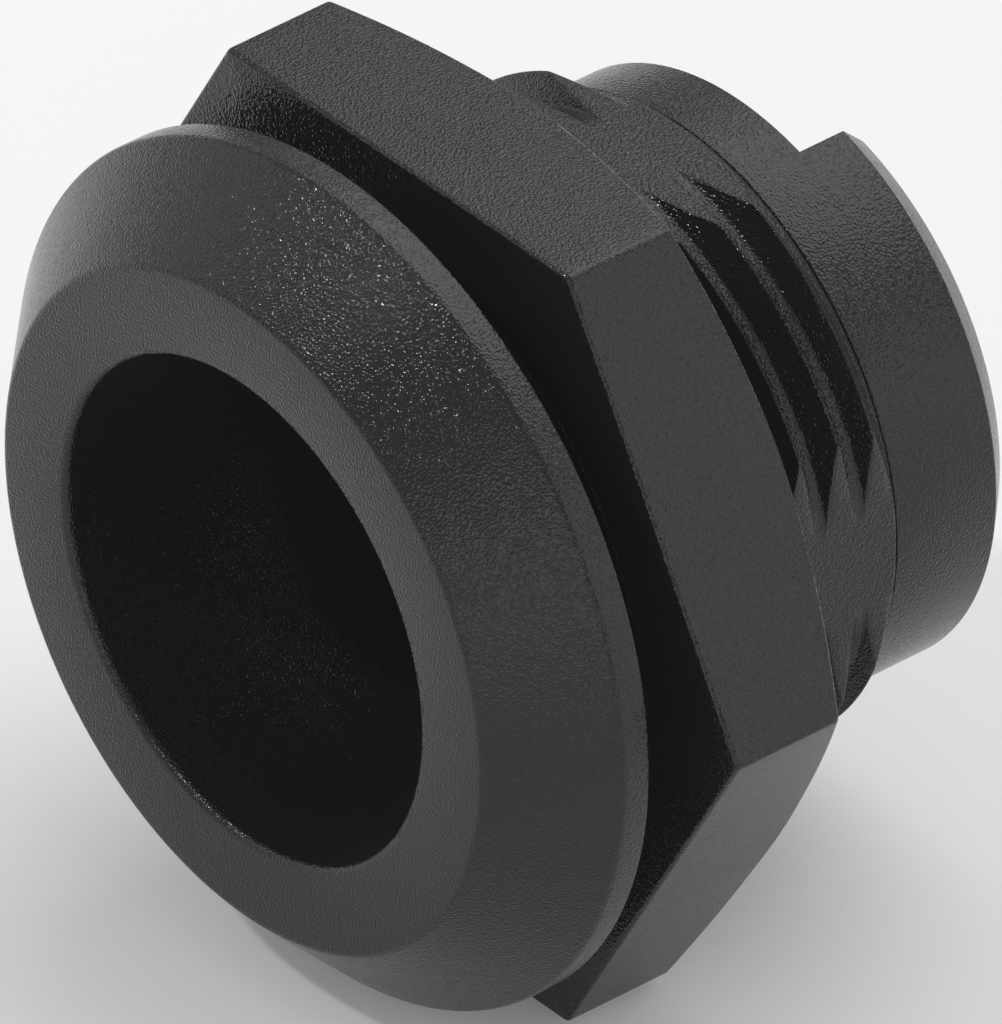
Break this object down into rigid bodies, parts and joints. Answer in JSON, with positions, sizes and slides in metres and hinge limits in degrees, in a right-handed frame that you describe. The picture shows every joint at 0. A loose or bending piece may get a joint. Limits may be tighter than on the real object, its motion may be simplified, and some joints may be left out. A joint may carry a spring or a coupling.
{
  "type": "cable gland",
  "caption": "Panel-mount cable gland: round head with a wide cable way, flatted threaded shank, hex locknut, gasket and a screw-in rear collar that closes clamp fingers.",
  "frame": {"origin": "on the gland's axis, in the plane of the head's rear face, which lies on the panel", "axes": "+Y along the axis from the head towards the rear collar, +Z square to the locknut's upper flat, +X to the right seen from the head"},
  "size_m": [0.0312, 0.022, 0.028],
  "materials": {
    "body_plastic": "black polyamide, fine moulded grain",
    "nut_plastic": "black polyamide, fine moulded grain",
    "insert_plastic": "dark grey polyamide, satin",
    "seal_rubber": "black elastomer, matt"
  },
  "bodies": {
    "panel_side": {"panel_gasket": "seal_rubber"},
    "gland": {"gland_body": "body_plastic", "seal_sleeve": "seal_rubber", "cage_ring": "insert_plastic"},
    "nut": {"locknut": "nut_plastic"},
    "slip": {"slip_ring": "insert_plastic"},
    "collar": {"rear_collar": "body_plastic"},
    "clamp_finger_01": {"clamp_finger_01": "insert_plastic"},
    "clamp_finger_02": {"clamp_finger_02": "insert_plastic"},
    "clamp_finger_03": {"clamp_finger_03": "insert_plastic"},
    "clamp_finger_04": {"clamp_finger_04": "insert_plastic"},
    "clamp_finger_05": {"clamp_finger_05": "insert_plastic"},
    "clamp_finger_06": {"clamp_finger_06": "insert_plastic"},
    "clamp_finger_07": {"clamp_finger_07": "insert_plastic"},
    "clamp_finger_08": {"clamp_finger_08": "insert_plastic"},
    "clamp_finger_09": {"clamp_finger_09": "insert_plastic"},
    "clamp_finger_10": {"clamp_finger_10": "insert_plastic"},
    "clamp_finger_11": {"clamp_finger_11": "insert_plastic"},
    "clamp_finger_12": {"clamp_finger_12": "insert_plastic"}
  },
  "joints": [
    {"name": "nut_turn", "type": "hinge", "parent": "panel_side", "child": "nut", "pos_m": [0, 0.00204, 0], "axis": [0, 1, 0], "range_deg": [0, 1800]},
    {"name": "gland_draw", "type": "slide", "parent": "panel_side", "child": "gland", "axis": [0, 1, 0], "range_m": [-0.0075, 0]},
    {"name": "collar_turn", "type": "hinge", "parent": "slip", "child": "collar", "pos_m": [0, 0.013, 0], "axis": [0, 1, 0], "range_deg": [0, 540]},
    {"name": "collar_travel", "type": "slide", "parent": "gland", "child": "slip", "axis": [0, 1, 0], "range_m": [0, 0.00225]},
    {"name": "finger_flex_01", "type": "hinge", "parent": "gland", "child": "clamp_finger_01", "pos_m": [0.00647, 0.0096, 0], "axis": [0, 0, -1], "range_deg": [0, 8]},
    {"name": "finger_flex_02", "type": "hinge", "parent": "gland", "child": "clamp_finger_02", "pos_m": [0.00561, 0.0096, 0.00324], "axis": [0.5, 0, -0.866], "range_deg": [0, 8]},
    {"name": "finger_flex_03", "type": "hinge", "parent": "gland", "child": "clamp_finger_03", "pos_m": [0.00324, 0.0096, 0.00561], "axis": [0.866, 0, -0.5], "range_deg": [0, 8]},
    {"name": "finger_flex_04", "type": "hinge", "parent": "gland", "child": "clamp_finger_04", "pos_m": [0, 0.0096, 0.00647], "axis": [1, 0, 0], "range_deg": [0, 8]},
    {"name": "finger_flex_05", "type": "hinge", "parent": "gland", "child": "clamp_finger_05", "pos_m": [-0.00324, 0.0096, 0.00561], "axis": [0.866, 0, 0.5], "range_deg": [0, 8]},
    {"name": "finger_flex_06", "type": "hinge", "parent": "gland", "child": "clamp_finger_06", "pos_m": [-0.00561, 0.0096, 0.00324], "axis": [0.5, 0, 0.866], "range_deg": [0, 8]},
    {"name": "finger_flex_07", "type": "hinge", "parent": "gland", "child": "clamp_finger_07", "pos_m": [-0.00647, 0.0096, 0], "axis": [0, 0, 1], "range_deg": [0, 8]},
    {"name": "finger_flex_08", "type": "hinge", "parent": "gland", "child": "clamp_finger_08", "pos_m": [-0.00561, 0.0096, -0.00324], "axis": [-0.5, 0, 0.866], "range_deg": [0, 8]},
    {"name": "finger_flex_09", "type": "hinge", "parent": "gland", "child": "clamp_finger_09", "pos_m": [-0.00324, 0.0096, -0.00561], "axis": [-0.866, 0, 0.5], "range_deg": [0, 8]},
    {"name": "finger_flex_10", "type": "hinge", "parent": "gland", "child": "clamp_finger_10", "pos_m": [0, 0.0096, -0.00647], "axis": [-1, 0, 0], "range_deg": [0, 8]},
    {"name": "finger_flex_11", "type": "hinge", "parent": "gland", "child": "clamp_finger_11", "pos_m": [0.00324, 0.0096, -0.00561], "axis": [-0.866, 0, -0.5], "range_deg": [0, 8]},
    {"name": "finger_flex_12", "type": "hinge", "parent": "gland", "child": "clamp_finger_12", "pos_m": [0.00561, 0.0096, -0.00324], "axis": [-0.5, 0, -0.866], "range_deg": [0, 8]}
  ],
  "couplings": [
    {"joint": "nut_turn", "follows": "gland_draw", "rad_per_m": -4188.8},
    {"joint": "collar_turn", "follows": "collar_travel", "rad_per_m": 4188.8},
    {"joint": "finger_flex_01", "follows": "collar_travel", "rad_per_m": 62.056},
    {"joint": "finger_flex_02", "follows": "collar_travel", "rad_per_m": 62.056},
    {"joint": "finger_flex_03", "follows": "collar_travel", "rad_per_m": 62.056},
    {"joint": "finger_flex_04", "follows": "collar_travel", "rad_per_m": 62.056},
    {"joint": "finger_flex_05", "follows": "collar_travel", "rad_per_m": 62.056},
    {"joint": "finger_flex_06", "follows": "collar_travel", "rad_per_m": 62.056},
    {"joint": "finger_flex_07", "follows": "collar_travel", "rad_per_m": 62.056},
    {"joint": "finger_flex_08", "follows": "collar_travel", "rad_per_m": 62.056},
    {"joint": "finger_flex_09", "follows": "collar_travel", "rad_per_m": 62.056},
    {"joint": "finger_flex_10", "follows": "collar_travel", "rad_per_m": 62.056},
    {"joint": "finger_flex_11", "follows": "collar_travel", "rad_per_m": 62.056},
    {"joint": "finger_flex_12", "follows": "collar_travel", "rad_per_m": 62.056}
  ]
}
